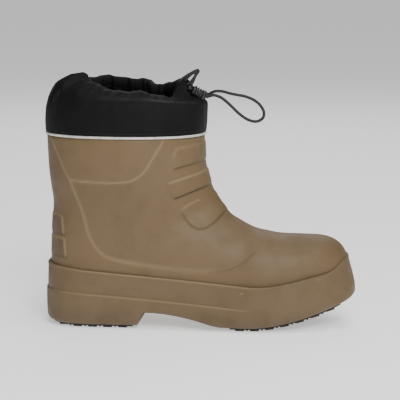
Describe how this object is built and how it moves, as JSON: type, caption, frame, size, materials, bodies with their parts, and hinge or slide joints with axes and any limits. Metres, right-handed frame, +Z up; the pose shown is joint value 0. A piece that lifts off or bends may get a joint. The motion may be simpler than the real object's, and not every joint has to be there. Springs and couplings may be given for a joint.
{
  "type": "rubber boot",
  "caption": "Low pull-on moulded foam boot on rubber treads, with a gathered fabric gaiter, cord lock and elastic drawcord.",
  "frame": {"origin": "on the floor, under the middle of the boot's box, measured without the cords", "axes": "+X towards the toe, +Y towards the wearer's left, which is the inner side of this right boot, +Z up"},
  "size_m": [0.3104, 0.117, 0.2547],
  "materials": {
    "foam": "matt moulded",
    "tread": "matt",
    "felt": "napped",
    "gaiter_cloth": "plain weave",
    "tape": "reflective tape",
    "lock_plastic": "moulded",
    "cord": "braided"
  },
  "bodies": {
    "root": {"upper": "foam", "sole": "foam", "insole": "felt", "outsole_heel": "tread", "outsole_forefoot": "tread", "gaiter": "gaiter_cloth", "piping": "tape", "cord_lock_body": "lock_plastic", "cord_lock_plunger": "lock_plastic", "drawcord_loop": "cord", "keeper_loop": "cord"}
  },
  "joints": []
}
